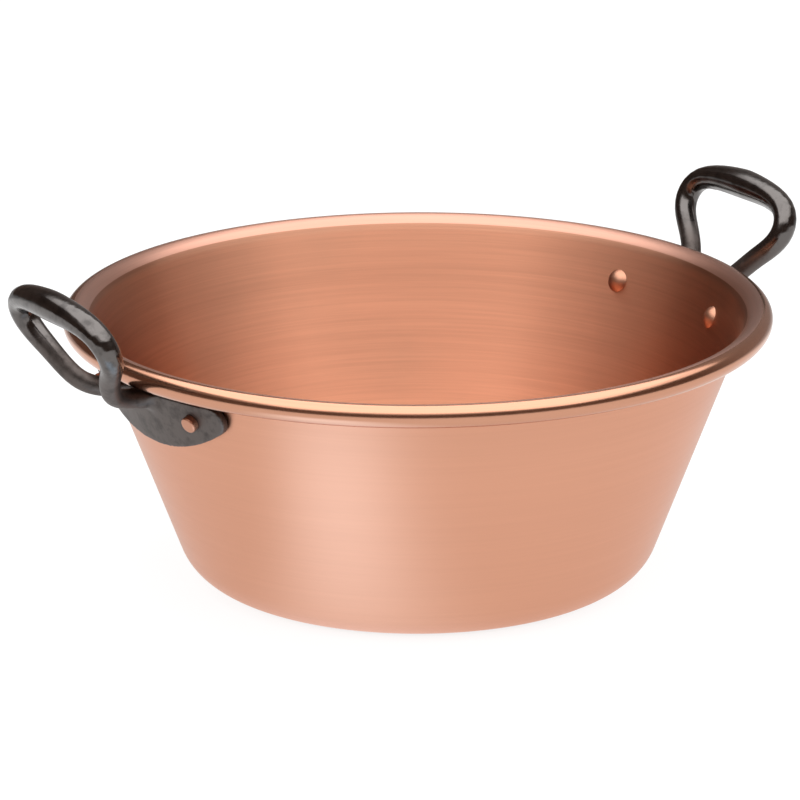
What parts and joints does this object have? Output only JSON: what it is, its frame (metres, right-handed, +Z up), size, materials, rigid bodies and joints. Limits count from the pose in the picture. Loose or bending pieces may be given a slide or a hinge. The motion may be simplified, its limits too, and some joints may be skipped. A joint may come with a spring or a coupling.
{
  "type": "jam pan",
  "caption": "Wide, low copper jam pan with a flat base, a flaring wall, a wired rolled rim and riveted cast iron loop handles.",
  "frame": {"origin": "middle of the flat base's underside", "axes": "+Z up, the handles along X, the left handle at -X and the right handle at +X"},
  "size_m": [0.4323, 0.3598, 0.1812],
  "materials": {
    "copper_sheet": "brushed copper inside, satin copper outside, polished rim",
    "steel_wire": "plain drawn wire",
    "cast_iron": "black, half-gloss casting",
    "copper_rivet": "hammered copper"
  },
  "bodies": {
    "root": {"pan_body": "copper_sheet", "rim_wire": "steel_wire", "left_handle": "cast_iron", "right_handle": "cast_iron", "left_front_rivet": "copper_rivet", "left_back_rivet": "copper_rivet", "right_front_rivet": "copper_rivet", "right_back_rivet": "copper_rivet"}
  },
  "joints": []
}
